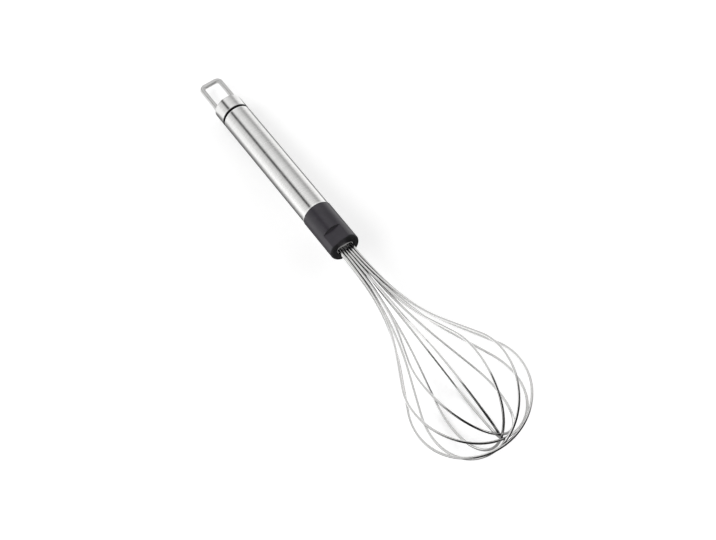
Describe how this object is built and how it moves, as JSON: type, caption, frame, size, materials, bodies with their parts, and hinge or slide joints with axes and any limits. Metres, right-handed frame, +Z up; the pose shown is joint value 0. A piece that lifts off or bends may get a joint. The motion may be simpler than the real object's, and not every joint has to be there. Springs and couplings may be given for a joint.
{
  "type": "balloon whisk",
  "caption": "Balloon whisk with a brushed steel tube handle, a black collar with a dished mouth, bent wire loops in a pear shape, and a hanging loop on the end cap.",
  "frame": {"origin": "on the surface that the whisk lies on, under the middle of its bounding box", "axes": "+Z up, +X from the hanging loop to the wire loops; the whisk's own axis rises 6.07 degrees from +X, because it lies on its end cap and two wire loops"},
  "size_m": [0.3088, 0.0664, 0.0692],
  "materials": {
    "tube_steel": "brushed round the axis",
    "cap_steel": "brushed round the axis",
    "rod_steel": "satin",
    "sleeve_steel": "satin",
    "wire_steel": "polished wire",
    "collar_plastic": "fine matte",
    "ring_plastic": "matte",
    "plug_plastic": "as moulded"
  },
  "bodies": {
    "root": {"handle_tube": "tube_steel", "end_cap": "cap_steel", "hanging_loop": "rod_steel", "loop_plate": "cap_steel", "wire_sleeve": "sleeve_steel", "collar": "collar_plastic", "spacer_ring": "ring_plastic", "cap_plug": "plug_plastic", "wire_block": "plug_plastic", "wire_loop_1": "wire_steel", "wire_loop_2": "wire_steel", "wire_loop_3": "wire_steel", "wire_loop_4": "wire_steel", "wire_loop_5": "wire_steel", "wire_loop_6": "wire_steel"}
  },
  "joints": []
}
